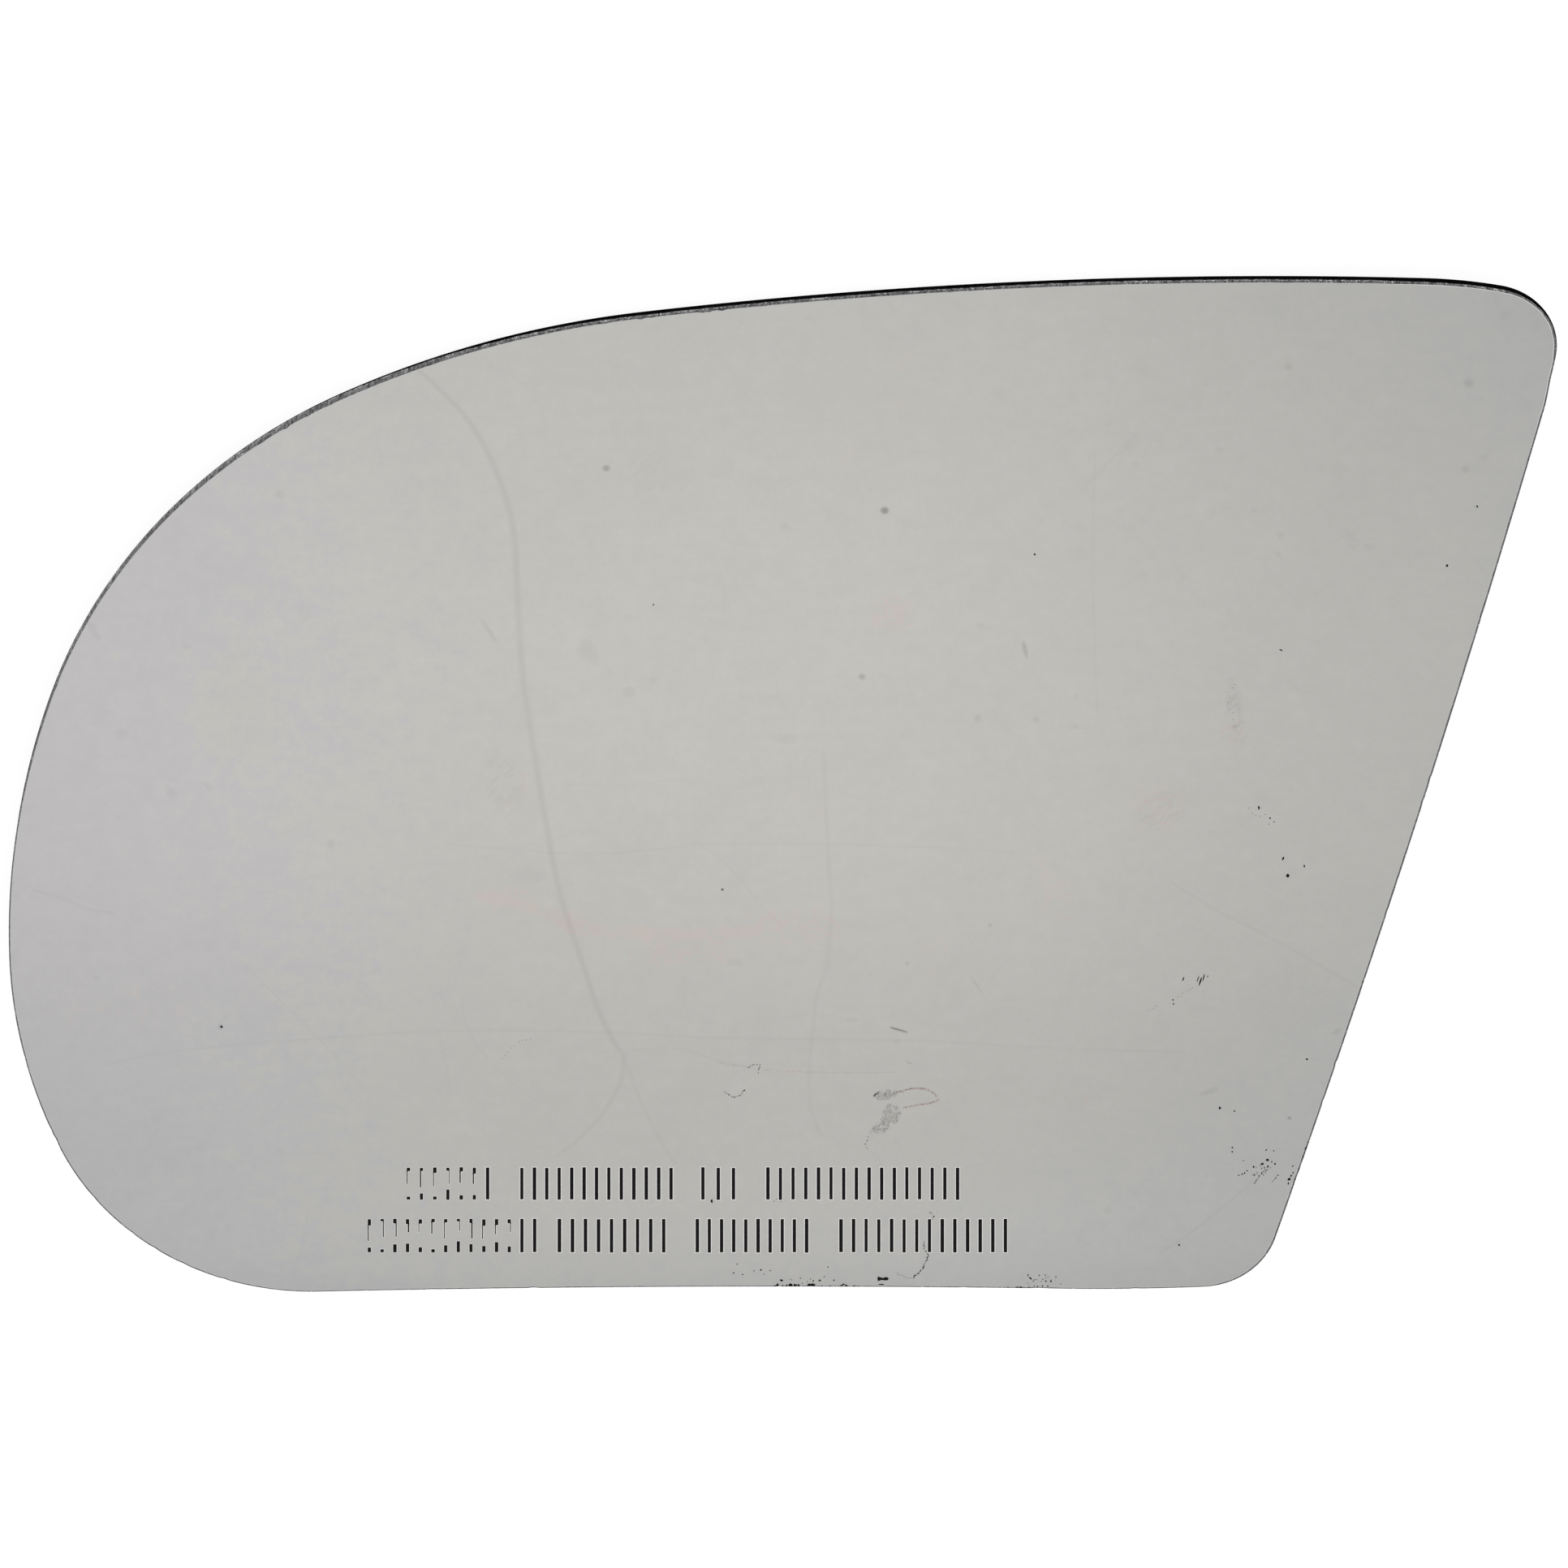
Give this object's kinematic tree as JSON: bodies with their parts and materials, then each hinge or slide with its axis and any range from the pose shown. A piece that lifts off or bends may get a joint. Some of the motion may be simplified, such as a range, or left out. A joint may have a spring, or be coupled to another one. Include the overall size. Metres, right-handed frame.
{
  "type": "car door mirror glass",
  "caption": "Bent glass pane for a passenger-side car door mirror, silvered on its hollow back, with an as-cut rim and a slanted outer side.",
  "frame": {"origin": "lowest point of the bulged front face, under the middle of the pane", "axes": "+X along the pane towards the upper right tip as seen from the silvered back, +Y towards the upper edge as fitted, +Z out of the silvered back; the pane lies on its bulged front face"},
  "size_m": [0.2074, 0.1534, 0.0076],
  "materials": {
    "silvered_glass": "satin silvering on the hollow back, bright reflecting front face, dark glass at the as-cut rim"
  },
  "bodies": {
    "root": {"mirror_glass": "silvered_glass"}
  },
  "joints": []
}
